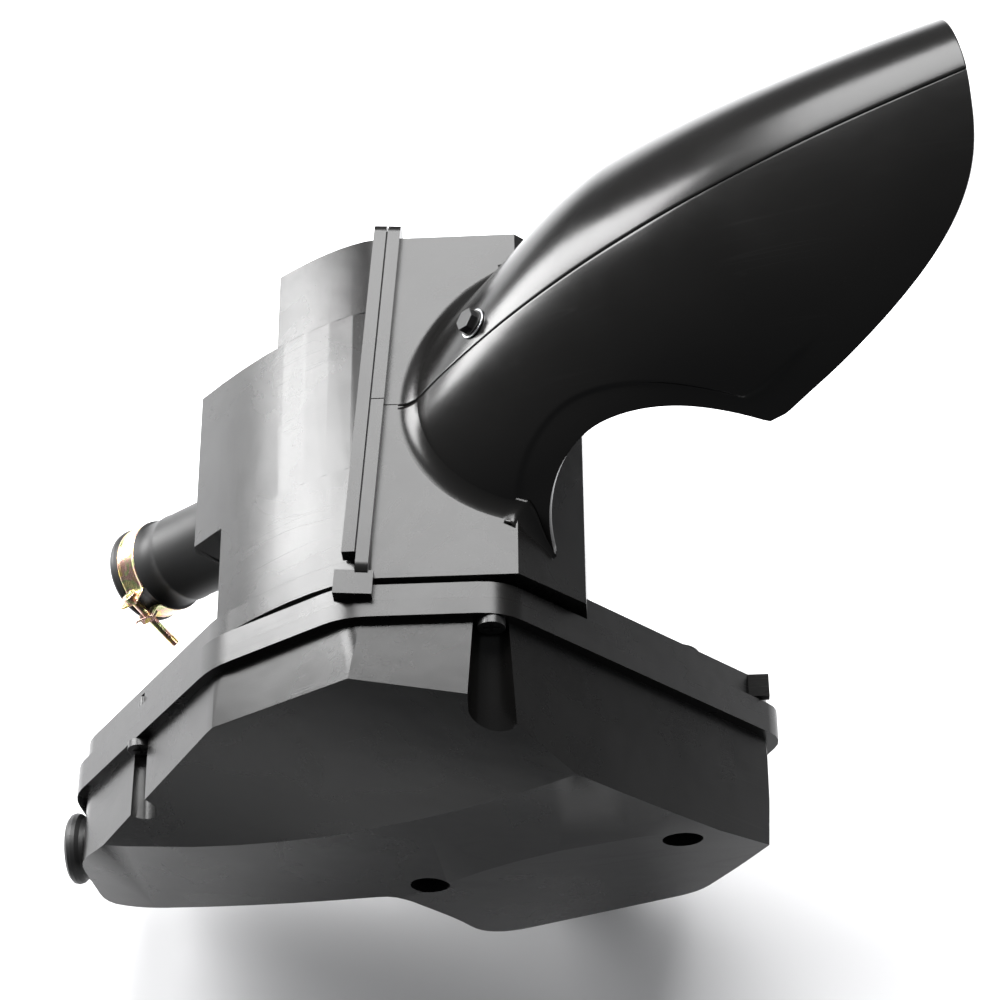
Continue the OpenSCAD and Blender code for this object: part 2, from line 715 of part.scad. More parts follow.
module clamp_screw() {
    color(zinc) at_clamp() translate([0, clamp_screw_y, 0]) rotate([0, 90, 0]) difference() {
        union() {
            translate([0, 0, -ear_in - ear_t - 3.4]) cylinder(r = 4.2, h = 3.3);
            translate([0, 0, -ear_in - ear_t - 1]) cylinder(r = clamp_screw_r, h = 30);
        }
        translate([0, 0, -ear_in - ear_t - 3.4]) {
            cube([5, 1, 2.4], center = true);
            cube([1, 5, 2.4], center = true);
        }
    }
}
module clamp_nut() {
    color(zinc) at_clamp() translate([ear_in + ear_t + 0.1, clamp_screw_y, 0]) difference() {
        translate([0, -3.6, -3.6]) cube([3.2, 7.2, 7.2]);
        translate([-1, 0, 0]) rotate([0, 90, 0]) cylinder(r = clamp_screw_r + 0.05, h = 10);
    }
}

// ---- Drain ----

module drain_cap() {
    color(rubber) translate(nipple_at - [0, 0, 4]) rotate([180, 0, 0]) difference() {
        cylinder(r = 7, h = 16);
        translate([0, 0, -1]) cylinder(r = 5.02, h = 13);
    }
}
module drain_clip() {
    color(steel) translate(nipple_at - [0, 0, 9]) rotate([180, 0, 0]) rotate_extrude()
        translate([7.75, 0]) circle(r = 0.7, $fn = 16);
}

outer_cover();
cover_seal();
cover_screws();
intake_duct();
main_case();
rear_upper_shell();
front_shell();
shell_seal();
shell_screws();
guard_lower();
guard_upper();
guard_bolt();
guard_washer();
guard_nut();
filter_frame();
filter_foam();
filter_retainer();
retainer_screws();
mount_grommets();
mount_collars();
carb_boot();
boot_ring();
clamp_band();
clamp_screw();
clamp_nut();
drain_cap();
drain_clip();
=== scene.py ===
"""Air filter housing: finished surfaces and materials around its CAD frame.

Every length is in metres. X runs rearward, Y inboard, Z up.
"""

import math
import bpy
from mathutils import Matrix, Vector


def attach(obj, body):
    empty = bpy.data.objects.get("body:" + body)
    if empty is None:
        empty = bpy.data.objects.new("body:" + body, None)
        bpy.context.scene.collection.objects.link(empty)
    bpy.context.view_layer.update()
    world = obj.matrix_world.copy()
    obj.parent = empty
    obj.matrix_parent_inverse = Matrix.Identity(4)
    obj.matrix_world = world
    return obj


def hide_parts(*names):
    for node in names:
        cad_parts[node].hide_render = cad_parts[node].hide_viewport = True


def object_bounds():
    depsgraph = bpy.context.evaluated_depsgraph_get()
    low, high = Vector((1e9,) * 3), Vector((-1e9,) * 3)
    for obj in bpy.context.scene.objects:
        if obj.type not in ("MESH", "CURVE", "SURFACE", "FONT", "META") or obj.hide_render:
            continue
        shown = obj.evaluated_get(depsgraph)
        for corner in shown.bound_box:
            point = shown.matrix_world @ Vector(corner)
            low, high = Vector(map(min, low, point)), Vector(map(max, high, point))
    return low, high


bl_info = {
    "name": "Air Filter Housing",
    "version": (1, 0, 0),
    "blender": (4, 5, 0),
    "location": "3D View > Sidebar > Housing",
    "description": "Finishes a moulded air filter housing and sets its studio",
    "category": "Object",
}

import bmesh
import bpy
import numpy as np
from bpy.props import FloatProperty, FloatVectorProperty, IntProperty, PointerProperty
from mathutils import Matrix, Vector

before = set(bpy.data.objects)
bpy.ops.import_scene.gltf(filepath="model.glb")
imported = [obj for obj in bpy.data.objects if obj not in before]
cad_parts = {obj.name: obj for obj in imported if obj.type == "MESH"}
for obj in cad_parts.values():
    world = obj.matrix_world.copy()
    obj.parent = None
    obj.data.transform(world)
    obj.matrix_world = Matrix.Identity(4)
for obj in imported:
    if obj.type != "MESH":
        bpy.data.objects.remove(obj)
CAD_BOX = [list(corner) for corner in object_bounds()]
FLOOR_Z = CAD_BOX[0][2]


# ---- Properties ----


class HousingPlastic(bpy.types.PropertyGroup):
    """Colour and finish of the moulded shells."""

    colour: FloatVectorProperty(
        name="Plastic colour", description="Base colour of the moulded shells",
        default=(0.0052, 0.0050, 0.0048), size=3, subtype="COLOR", min=0.0, max=1.0,
    )
    roughness: FloatProperty(
        name="Plastic roughness", description="Mean roughness of the shells",
        default=0.27, min=0.05, max=1.0, subtype="FACTOR",
    )
    edge: FloatProperty(
        name="Edge rounding", description="Radius of the moulded edges",
        default=0.0011, min=0.0, max=0.004, unit="LENGTH",
    )


class HousingGuard(bpy.types.PropertyGroup):
    """Sizes of the splash guard."""

    wall: FloatProperty(
        name="Guard wall", description="Thickness of the guard's wall",
        default=0.0025, min=0.001, max=0.005, unit="LENGTH",
    )
    step: FloatProperty(
        name="Border step", description="How far the guard's border stands below its face",
        default=0.0010, min=0.0, max=0.003, unit="LENGTH",
    )
    border: FloatProperty(
        name="Border width", description="Width of the border along the lower edge",
        default=0.018, min=0.005, max=0.03, unit="LENGTH",
    )
    fillet: FloatProperty(
        name="Root fillet", description="Reach of the fillet between the guard and the case",
        default=0.008, min=0.002, max=0.03, unit="LENGTH",
    )
    rows: IntProperty(
        name="Guard rows", description="Rows of faces along the guard",
        default=150, min=20, max=400,
    )


class HousingClamp(bpy.types.PropertyGroup):
    """Sizes of the boot and its hose clamp."""

    bore: FloatProperty(
        name="Boot bore", description="Radius of the boot's bore",
        default=0.019, min=0.01, max=0.03, unit="LENGTH",
    )
    band: FloatProperty(
        name="Band width", description="Width of the clamp band",
        default=0.012, min=0.006, max=0.02, unit="LENGTH",
    )
    pitch: FloatProperty(
        name="Thread pitch", description="Pitch of the clamp screw's thread",
        default=0.0007, min=0.0003, max=0.002, unit="LENGTH",
    )


class HousingStudio(bpy.types.PropertyGroup):
    """Floor, lights and camera."""

    lens: FloatProperty(
        name="Lens", description="Focal length of the camera on a 36 mm sensor, in mm",
        default=97.2, min=20.0, max=300.0,
    )
    floor: FloatVectorProperty(
        name="Floor colour", description="Colour of the pale floor",
        default=(0.86, 0.86, 0.87), size=3, subtype="COLOR", min=0.0, max=1.0,
    )
    key: FloatProperty(
        name="Key light", description="Power of the large soft light above and behind",
        default=70.0, min=0.0, max=500.0, unit="POWER",
    )
    sky: FloatProperty(
        name="Sky", description="Strength of the grey surroundings that the object mirrors",
        default=0.16, min=0.0, max=2.0,
    )


# ---- Shader maths ----


class Wire:
    """A socket on which Python's operators add Math nodes."""

    def __init__(self, paint, socket):
        self.paint = paint
        self.socket = socket

    def _math(self, operation, *values):
        node = self.paint.node("ShaderNodeMath", {"operation": operation}, *values)
        return Wire(self.paint, node.outputs[0])

    def __add__(self, other):
        return self._math("ADD", self, other)

    __radd__ = __add__

    def __sub__(self, other):
        return self._math("SUBTRACT", self, other)

    def __rsub__(self, other):
        return self._math("SUBTRACT", other, self)

    def __mul__(self, other):
        return self._math("MULTIPLY", self, other)

    __rmul__ = __mul__

    def __truediv__(self, other):
        return self._math("DIVIDE", self, other)

    def size(self):
        """The value without its sign."""
        return self._math("ABSOLUTE", self)

    def clip(self):
        """The value held between 0 and 1."""
        return self._math("MINIMUM", self._math("MAXIMUM", self, 0.0), 1.0)

    def above(self, low, high):
        """0 below low, 1 above high, straight between."""
        return ((self - low) / (high - low)).clip()


class Paint:
    """A node material on a Principled shader, built by method calls."""

    def __init__(self, name):
        self.material = bpy.data.materials.new(name)
        self.material.use_nodes = True
        self.tree = self.material.node_tree
        self.tree.nodes.clear()
        self.shader = self.node("ShaderNodeBsdfPrincipled", {})
        out = self.node("ShaderNodeOutputMaterial", {})
        self.tree.links.new(self.shader.outputs[0], out.inputs[0])
        self.place = Wire(self, self.node("ShaderNodeTexCoord", {}).outputs["Object"])

    def node(self, kind, settings, *values, **named):
        """Adds a node, sets its settings first, and then its sockets by order or name."""
        made = self.tree.nodes.new(kind)
        for key, value in settings.items():
            if key == "stops":
                while len(made.color_ramp.elements) < len(value):
                    made.color_ramp.elements.new(0.5)
                for stop, (at, colour) in zip(made.color_ramp.elements, value):
                    stop.position = at
                    stop.color = (*colour, 1.0)
            else:
                setattr(made, key, value)
        for i, value in enumerate(values):
            self.feed(made.inputs[i], value)
        for key, value in named.items():
            self.feed(made.inputs[key.replace("_", " ")], value)
        return made

    def feed(self, socket, value):
        """Sets a socket to a value, or links it."""
        if isinstance(value, Wire):
            self.tree.links.new(value.socket, socket)
        else:
            socket.default_value = value

    def turned(self, scale, turn=(0.0, 0.0, 0.0)):
        """Object coordinates, turned and then stretched."""
        node = self.node(
            "ShaderNodeMapping", {}, Vector=self.place, Rotation=turn, Scale=scale
        )
        return Wire(self, node.outputs[0])

    def noise(self, scale, detail=3.0, rough=0.55, at=None, warp=0.0):
        """Fractal noise from 0 to 1."""
        node = self.node(
            "ShaderNodeTexNoise", {}, Vector=at or self.place, Scale=scale,
            Detail=detail, Roughness=rough, Distortion=warp,
        )
        return Wire(self, node.outputs["Fac"])

    def cells(self, scale, feature="F1", at=None):
        """Distance to the nearest cell point."""
        node = self.node(
            "ShaderNodeTexVoronoi", {"feature": feature}, Vector=at or self.place, Scale=scale
        )
        return Wire(self, node.outputs["Distance"])

    def mix(self, amount, low, high):
        """A colour between two colours."""
        node = self.tree.nodes.new("ShaderNodeMix")
        node.data_type = "RGBA"
        self.feed(node.inputs["Factor"], amount)
        self.feed(node.inputs[6], low if isinstance(low, Wire) else (*low, 1.0))
        self.feed(node.inputs[7], high if isinstance(high, Wire) else (*high, 1.0))
        return Wire(self, node.outputs[2])

    def ramp(self, value, stops):
        """A colour picked from stops."""
        return Wire(self, self.node("ShaderNodeValToRGB", {"stops": stops}, value).outputs[0])

    def bump(self, height, distance):
        """A normal tilted by a height in units of distance, in metres."""
        node = self.node("ShaderNodeBump", {}, Strength=1.0, Distance=distance, Height=height)
        return Wire(self, node.outputs[0])

    def set(self, **named):
        """Feeds the Principled shader's sockets."""
        for key, value in named.items():
            self.feed(self.shader.inputs[key.replace("_", " ")], value)

    def hairs(self, turn, width, seed):
        """Hair scratches: the thin level line of a strongly stretched noise."""
        at = self.turned((3.0, 160.0, 7.0 + seed), turn)
        line = (self.noise(1.0, 1.0, 0.4, at) - 0.5).size()
        patch = self.noise(9.0 + seed, 2.0).above(0.52, 0.64)
        return (1.0 - line.above(0.0, width)) * patch


def moulded(name, colour, roughness, scuffs=1.0, grain=1.0):
    """Black moulded plastic: fine grain, handling smudges, hair scratches, a little dust."""
    paint = Paint(name)
    smudge = paint.noise(17.0, 5.0, 0.6, warp=0.6)
    patch = paint.noise(5.5, 3.0, 0.5)
    scratch = paint.hairs((0.3, 0.2, 0.9), 0.010, 0.0) + paint.hairs((1.2, 0.7, 2.1), 0.008, 3.0)
    scratch = (scratch * scuffs).clip()
    dust = (1.0 - paint.cells(420.0).above(0.05, 0.11)) * paint.noise(30.0, 2.0).above(0.5, 0.62)
    dust = dust * (0.35 * scuffs)
    dark = tuple(0.80 * c for c in colour)
    light = tuple(1.35 * c for c in colour)
    tint = paint.mix(patch.above(0.35, 0.65), dark, light)
    tint = paint.mix(scratch * 0.25, tint, (0.055, 0.055, 0.055))
    tint = paint.mix(dust, tint, (0.10, 0.10, 0.095))
    rough = roughness + (smudge - 0.5) * 0.15 + (patch - 0.5) * 0.06 + scratch * 0.14 + dust * 0.3
    fine = paint.noise(2600.0, 2.0, 0.6)
    flow = paint.noise(38.0, 2.0, 0.5)
    height = fine * (0.5 * grain) + flow * 6.0 - scratch * 1.2
    paint.set(
        Base_Color=tint, Roughness=rough.clip(), IOR=1.40,
        Normal=paint.bump(height, 0.00003),
    )
    return paint.material


def satin_rubber(name, colour, roughness):
    """Satin rubber: soft mottling, faint bloom and a fine skin."""
    paint = Paint(name)
    mottle = paint.noise(42.0, 4.0, 0.6)
    bloom = paint.noise(11.0, 3.0).above(0.45, 0.75)
    tint = paint.mix(bloom * 0.6, colour, tuple(2.4 * c + 0.004 for c in colour))
    height = paint.noise(1500.0, 3.0, 0.65) + mottle * 2.0
    paint.set(
        Base_Color=tint, Roughness=(roughness + (mottle - 0.5) * 0.14).clip(), IOR=1.45,
        Normal=paint.bump(height, 0.00004),
    )
    return paint.material


def plated(name, colours, roughness, streak=(700.0, 90.0, 90.0)):
    """Zinc plating: a drifting tint between several colours, and fine drawn streaks."""
    paint = Paint(name)
    drift = paint.noise(95.0, 4.0, 0.6, warp=1.2)
    count = len(colours) - 1
    stops = [(0.30 + 0.40 * i / count, c) for i, c in enumerate(colours)]
    tint = paint.ramp(drift, stops)
    drawn = paint.noise(1.0, 2.0, 0.6, paint.turned(streak, (0.0, 0.9, 0.3)))
    spots = (1.0 - paint.cells(360.0).above(0.10, 0.26)) * paint.noise(60.0, 2.0).above(0.52, 0.7)
    tint = paint.mix(spots * 0.55, tint, tuple(0.35 * c for c in colours[0]))
    paint.set(
        Base_Color=tint, Metallic=1.0,
        Roughness=(roughness + (drawn - 0.5) * 0.2 + spots * 0.3).clip(),
        Normal=paint.bump(drawn, 0.00002),
    )
    return paint.material


def open_foam(name):
    """Open-cell foam: pits between cell struts with painted shade darkening the pits, tinted by oil.
    """
    paint = Paint(name)
    pits_and_pit_shade = paint.cells(900.0).above(0.1, 0.6)
    oil = paint.noise(14.0, 3.0).above(0.35, 0.7)
    tint = paint.mix(oil, (0.055, 0.048, 0.038), (0.10, 0.085, 0.06))
    # painted shade: the base colour goes near black in the pits, standing in for the shade inside the
    # holes; the same mask also sets the pits' bump
    tint = paint.mix(pits_and_pit_shade, (0.012, 0.010, 0.008), tint)
    paint.set(Base_Color=tint, Roughness=0.95, Normal=paint.bump(pits_and_pit_shade, 0.0007))
    return paint.material


# ---- Mesh building ----


def mesh_object(name, points, quads, smooth=True):
    """A mesh object from an array of points (n, 3) and an array of quads (m, 4)."""
    mesh = bpy.data.meshes.new(name)
    mesh.vertices.add(len(points))
    mesh.vertices.foreach_set("co", np.ascontiguousarray(points, np.float32).ravel())
    mesh.loops.add(quads.size)
    mesh.loops.foreach_set("vertex_index", quads.astype(np.int32).ravel())
    mesh.polygons.add(len(quads))
    mesh.polygons.foreach_set("loop_start", np.arange(0, quads.size, 4, dtype=np.int32))
    mesh.update(calc_edges=True)
    mesh.validate()
    mesh.polygons.foreach_set("use_smooth", np.full(len(mesh.polygons), smooth))
    made = bpy.data.objects.new(name, mesh)
    bpy.context.collection.objects.link(made)
    return made


def grid_quads(rows, columns, wrap=False):
    """Quads of a grid of points; wrap joins its last column to its first."""
    i = np.arange(rows - 1)[:, None]
    j = np.arange(columns if wrap else columns - 1)[None, :]
    k = (j + 1) % columns
    quads = np.stack(
        [i * columns + j, i * columns + k, (i + 1) * columns + k, (i + 1) * columns + j]
    )
    return quads.reshape(4, -1).T


def tidy(made, merge=1e-6):
    """Merges doubles, drops faces without area and makes the normals point outward."""
    work = bmesh.new()
    work.from_mesh(made.data)
    bmesh.ops.remove_doubles(work, verts=work.verts, dist=merge)
    bmesh.ops.dissolve_degenerate(work, dist=merge, edges=work.edges)
    bmesh.ops.recalc_face_normals(work, faces=work.faces)
    work.to_mesh(made.data)
    work.free()
    return made


def shell_object(name, outer, inner):
    """A closed wall between two equal grids of points (rows, columns, 3)."""
    rows, columns = outer.shape[:2]
    count = rows * columns
    ids = np.arange(count).reshape(rows, columns)
    loop = np.concatenate([ids[0, :], ids[1:, -1], ids[-1, -2::-1], ids[-2:0:-1, 0]])
    after = np.roll(loop, -1)
    rim = np.stack([loop, after, after + count, loop + count], axis=1)
    quads = grid_quads(rows, columns)
    quads = np.concatenate([quads, quads[:, ::-1] + count, rim[:, ::-1]])
    points = np.concatenate([outer.reshape(-1, 3), inner.reshape(-1, 3)])
    return tidy(mesh_object(name, points, quads))


def lathe(name, profile, place, segments=96):
    """A closed profile (n, 2) of radius and height turned about the local Z axis."""
    profile = np.asarray(profile, float)
    turn = np.linspace(0.0, 2.0 * math.pi, segments, endpoint=False)
    ring = np.stack([np.cos(turn), np.sin(turn)], axis=1)
    points = np.empty((segments, len(profile), 3))
    points[..., :2] = profile[None, :, :1] * ring[:, None, :]
    points[..., 2] = profile[None, :, 1]
    i = np.arange(segments)[:, None]
    j = np.arange(len(profile))[None, :]
    i1, j1 = (i + 1) % segments, (j + 1) % len(profile)
    n = len(profile)
    quads = np.stack([i * n + j, i1 * n + j, i1 * n + j1, i * n + j1]).reshape(4, -1).T
    return tidy(mesh_object(name, placed(points.reshape(-1, 3), place), quads))


def placed(points, place):
    """Points (n, 3) carried by a 4 by 4 matrix."""
    matrix = np.array(place)
    return points @ matrix[:3, :3].T + matrix[:3, 3]


LARGE_FACE = 4e-4
SHARP_ANGLE = math.radians(40.0)
CREASE_ANGLE = math.radians(2.5)


def angle_shading():
    """A node group that smooths all but sharp edges.

    An edge stays sharp above 40 degrees. With creases on, it also stays sharp above 2.5 degrees
    where both of its faces are large.
    """
    if "angle_shading" in bpy.data.node_groups:
        return bpy.data.node_groups["angle_shading"]
    group = bpy.data.node_groups.new("angle_shading", "GeometryNodeTree")
    face = group.interface
    face.new_socket("Geometry", in_out="INPUT", socket_type="NodeSocketGeometry")
    face.new_socket("Creases", in_out="INPUT", socket_type="NodeSocketBool")
    face.new_socket("Geometry", in_out="OUTPUT", socket_type="NodeSocketGeometry")

    def add(kind, settings, *values):
        made = group.nodes.new(kind)
        for key, value in settings.items():
            setattr(made, key, value)
        for i, value in enumerate(values):
            if isinstance(value, bpy.types.NodeSocket):
                group.links.new(value, made.inputs[i])
            elif value is not None:
                made.inputs[i].default_value = value
        return made

    def over(value, limit):
        return add("ShaderNodeMath", {"operation": "GREATER_THAN"}, value, limit).outputs[0]

    source = add("NodeGroupInput", {})
    bend = add("GeometryNodeInputMeshEdgeAngle", {}).outputs[0]
    large = over(add("GeometryNodeInputMeshFaceArea", {}).outputs[0], LARGE_FACE)
    both = add(
        "GeometryNodeFieldOnDomain", {"domain": "FACE", "data_type": "FLOAT"}, large
    ).outputs[0]
    on_edge = add(
        "GeometryNodeFieldOnDomain", {"domain": "EDGE", "data_type": "FLOAT"}, both
    ).outputs[0]
    crease = add("ShaderNodeMath", {"operation": "MULTIPLY"}, over(on_edge, 0.99),
                 over(bend, CREASE_ANGLE)).outputs[0]
    crease = add("ShaderNodeMath", {"operation": "MULTIPLY"}, crease, source.outputs[1]).outputs[0]
    sharp = add("ShaderNodeMath", {"operation": "MAXIMUM"}, crease,
                over(bend, SHARP_ANGLE)).outputs[0]
    smooth = add("GeometryNodeSetShadeSmooth", {"domain": "FACE"}, source.outputs[0])
    smooth.inputs["Shade Smooth"].default_value = True
    edges = add("GeometryNodeSetShadeSmooth", {"domain": "EDGE"}, smooth.outputs[0], sharp)
    edges.inputs["Shade Smooth"].default_value = False
    out = add("NodeGroupOutput", {})
    group.links.new(edges.outputs[0], out.inputs[0])
    return group


def soften_edges(piece, width, segments=3, angle=28.0, creases=False):
    """Welds a loose mesh, joins its flat faces, rounds its sharp edges and shades by angle."""
    weld = piece.modifiers.new("weld", "WELD")
    weld.merge_threshold = 2e-5
    flat = piece.modifiers.new("flat", "DECIMATE")
    flat.decimate_type = "DISSOLVE"
    flat.angle_limit = math.radians(0.6)
    bevel = piece.modifiers.new("bevel", "BEVEL")
    bevel.width = width
    bevel.segments = segments
    bevel.limit_method = "ANGLE"
    bevel.angle_limit = math.radians(angle)
    bevel.use_clamp_overlap = True
    bevel.harden_normals = False
    shade = piece.modifiers.new("shade", "NODES")
    shade.node_group = angle_shading()
    shade[shade.node_group.interface.items_tree["Creases"].identifier] = creases
    even = piece.modifiers.new("even", "WEIGHTED_NORMAL")
    even.keep_sharp = True
    return piece


def finish(piece, body, slot, material, *nodes):
    """Rides a new piece on its body, gives it its material, and hides the nodes it replaces."""
    piece.data.materials.clear()
    piece.data.materials.append(material)
    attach(piece, body)
    if nodes:
        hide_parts(*nodes)


def repaint(node, material):
    """Gives a CAD node a material in every slot."""
    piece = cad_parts[node]
    if not piece.data.materials:
        piece.data.materials.append(material)
    for i in range(len(piece.data.materials)):
        piece.data.materials[i] = material
    return piece


# ---- Surfaces of the object ----


def ease(t):
    """Smooth step from 0 to 1."""
    t = np.clip(t, 0.0, 1.0)
    return t * t * (3.0 - 2.0 * t)


AXLE = (336.0, 100.0)
GUARD_R = 258.0
GUARD_ROOT_EXTRA = 82.0
GUARD_START = 17.0
GUARD_SWEEP = 56.0
GUARD_TIP = 0.99
ARC_END = math.radians(62.0)
CREST_Y = 66.0


def guard_point(s, l, d):
    """A point of the guard, in mm.

    s runs from root to tip around the axle and l across from the parting line. The section is
    an arc from the parting angle to 62 degrees and then straight; d is the depth under the skin.
    """
    turn = np.radians(GUARD_START + GUARD_SWEEP * s)
    a0 = np.radians(15.0 * ease(3.0 * s))
    r = np.where(
        l >= 0.0,
        66.0 + 74.0 * ease(1.2 * s),
        86.0 - 44.0 * np.clip(s, 0.0, 1.0) ** 0.7,
    )
    arc = r * (ARC_END - a0)
    a = a0 + np.minimum(l, arc) / r
    ext = np.maximum(0.0, l - arc)
    y = CREST_Y + 64.0 * s + r * np.sin(a0) - (r - d) * np.sin(a) - ext * np.cos(a)
    crest = GUARD_R + GUARD_ROOT_EXTRA * np.clip(1.0 - s, 0.0, None) ** 1.7
    q = crest - r * np.cos(a0) + (r - d) * np.cos(a) - ext * np.sin(a)
    return np.stack([AXLE[0] - q * np.cos(turn), y, AXLE[1] + q * np.sin(turn)], axis=-1)


def low_edge(s):
    """Width of the lower half at s: least at the notch, and growing to both sides."""
    return 67.0 + 41.0 * (np.abs(s - 0.2) / 0.22) ** 1.8


def outer_width(s):
    """Width of the lower half, limited by the notch, the tip's rounding and the corner."""
    tip = 108.0 * np.clip((GUARD_TIP - s) / 0.53, 0.0, 1.0) ** 0.3
    return np.maximum(4.0, np.minimum(np.minimum(low_edge(s), tip), 116.0))


CASE = (
    (-64.0, 56.0), (-108.0, 112.0), (-60.0, 168.0), (-12.0, 192.0),
    (55.0, 192.0), (85.0, 160.0), (85.0, 82.0), (60.0, 56.0),
)


def outside_case(points):
    """Distance in mm outside the tall case's section; negative inside it."""
    corners = np.array(CASE)
    along = np.roll(corners, -1, axis=0) - corners
    along /= np.linalg.norm(along, axis=1, keepdims=True)
    out = np.stack([-along[:, 1], along[:, 0]], axis=1)
    flat = points[..., (0, 2)]
    return np.max(np.einsum("...kj,kj->...k", flat[..., None, :] - corners, out), axis=-1)


def root_s(width, t):
    """For each share t of a width(s), the s at which the guard's skin leaves the case."""
    s = np.linspace(-0.12, 0.30, 421)
    across = width(s)[:, None] * t[None, :]
    gap = outside_case(guard_point(s[:, None], across, 0.0))
    inside = gap < 0.0
    last = np.minimum(inside.shape[0] - 1 - np.argmax(inside[::-1], axis=0), len(s) - 2)
    column = np.arange(len(t))
    low, high = gap[last, column], gap[last + 1, column]
    share = np.clip(-low / np.maximum(high - low, 1e-9), 0.0, 1.0)
    return np.where(inside.any(axis=0), s[last] + share * (s[1] - s[0]), s[0])


SINK = 0.006
MM = 0.001


def upper_width(s):
    """Width of the upper half, as a negative distance from the parting line."""
    return -(96.0 + 8.0 * s)


def guard_grid(lower, rows, columns):
    """The s and l of a grid over one half: rows from the root to the tip, columns across."""
    t = np.linspace(0.0, 1.0, columns)
    k = np.linspace(0.0, 1.0, rows)[:, None]
    if lower:
        start = root_s(outer_width, t) - SINK
        s = GUARD_TIP - (GUARD_TIP - start) * (1.0 - k) ** 1.5
        return s, outer_width(s) * t
    start = root_s(upper_width, t) - SINK
    tip = GUARD_TIP - 0.08 * (100.0 * t / 69.0) ** 1.5
    s = start + (tip - start) * k
    return s, -0.5 + upper_width(s) * t


def guard_half(name, lower, sizes):
    """One half of the guard as a closed wall.

    Its outer skin drops by a small step along the lower border, on a line parallel to the edge.
    """
    s, l = guard_grid(lower, sizes.rows, 90 if lower else 60)
    drop = np.zeros_like(s)
    if lower:
        inward = outer_width(s) - l
        drop = sizes.step / MM * ease((sizes.border / MM - inward) / 3.0)
        drop = drop * ease((low_edge(s) - 60.0) / 1.0) * ease((0.62 - s) / 0.1)
    outer = guard_point(s, l, drop) * MM
    inner = guard_point(s, l, drop + sizes.wall / MM) * MM
    piece = shell_object(name, outer, inner)
    bevel = piece.modifiers.new("bevel", "BEVEL")
    bevel.width = 0.0008
    bevel.segments = 3
    bevel.limit_method = "ANGLE"
    bevel.angle_limit = math.radians(50.0)
    return piece


def root_fillet(name, lower, sizes):
    """A fillet along the root: a quadratic curve from the case's face to the guard's skin."""
    reach = sizes.fillet / MM
    columns = 80
    t = np.linspace(0.0, 1.0, columns)
    width = outer_width if lower else upper_width
    s = root_s(width, t)
    l = width(s) * t - (0.0 if lower else 0.5)
    root = guard_point(s, l, 0.0)
    ahead = guard_point(s + 0.002, l, 0.0) - root
    along = ahead / np.linalg.norm(ahead, axis=1, keepdims=True)
    across = guard_point(s, l + 0.5, 0.0) - guard_point(s, l - 0.5, 0.0)
    skin = np.cross(across, along)
    skin /= np.linalg.norm(skin, axis=1, keepdims=True)
    wall = case_normal(root)
    away = skin - np.sum(skin * wall, axis=1, keepdims=True) * wall
    away /= np.linalg.norm(away, axis=1, keepdims=True)
    kernel = np.ones(9) / 9.0
    for field in (away, along):
        for axis in range(3):
            padded = np.pad(field[:, axis], 4, mode="edge")
            field[:, axis] = np.convolve(padded, kernel, mode="valid")
        field /= np.linalg.norm(field, axis=1, keepdims=True)
    step = ahead / 0.002
    taper = (reach * (0.25 + 0.75 * ease((1.0 - t) * 6.0)))[:, None]
    on_case = root + away * taper - wall * 0.15
    ds = taper / np.linalg.norm(step, axis=1, keepdims=True)
    on_guard = guard_point(s + ds[:, 0], l, 0.15)
    u = np.linspace(0.0, 1.0, 9)[None, :, None]
    curve = (1 - u) ** 2 * on_case[:, None] + 2 * u * (1 - u) * root[:, None]
    curve = curve + u * u * on_guard[:, None]
    deep = (root - skin * 1.2 - wall * 1.2)[:, None]
    loop = np.concatenate([curve, deep], axis=1)
    return tube_object(name, loop * MM)


def case_normal(points):
    """Normal of the case's face nearest to each point."""
    corners = np.array(CASE)
    along = np.roll(corners, -1, axis=0) - corners
    along /= np.linalg.norm(along, axis=1, keepdims=True)
    out = np.stack([-along[:, 1], along[:, 0]], axis=1)
    gap = np.einsum("nkj,kj->nk", points[:, None, (0, 2)] - corners, out)
    best = out[np.argmax(gap, axis=1)]
    return np.stack([best[:, 0], np.zeros(len(best)), best[:, 1]], axis=1)


def tube_object(name, loops):
    """A closed solid from a row of closed loops (rows, points, 3), capped at both ends."""
    rows, count = loops.shape[:2]
    made = mesh_object(name, loops.reshape(-1, 3), grid_quads(rows, count, wrap=True))
    work = bmesh.new()
    work.from_mesh(made.data)
    bmesh.ops.remove_doubles(work, verts=work.verts, dist=1e-7)
    bmesh.ops.holes_fill(work, edges=work.edges, sides=0)
    bmesh.ops.recalc_face_normals(work, faces=work.faces)
    work.to_mesh(made.data)
    work.free()
    made.data.polygons.foreach_set("use_smooth", np.ones(len(made.data.polygons), bool))
    return made


# ---- Boot and clamp ----

PORT = Matrix.Translation(Vector((-0.086, 0.064, 0.084)))
PORT = PORT @ Matrix.Rotation(math.pi, 4, "Z") @ Matrix.Rotation(math.acos(-0.61782155), 4, "Y")
CLAMP = PORT @ Matrix.Translation(Vector((0.0, 0.0, 0.068)))
CLAMP = CLAMP @ Matrix.Rotation(math.radians(24.0), 4, "Z")
BOOT_LEN = 80.0
BOOT_WALL = 4.0
SCREW_UP = 29.5


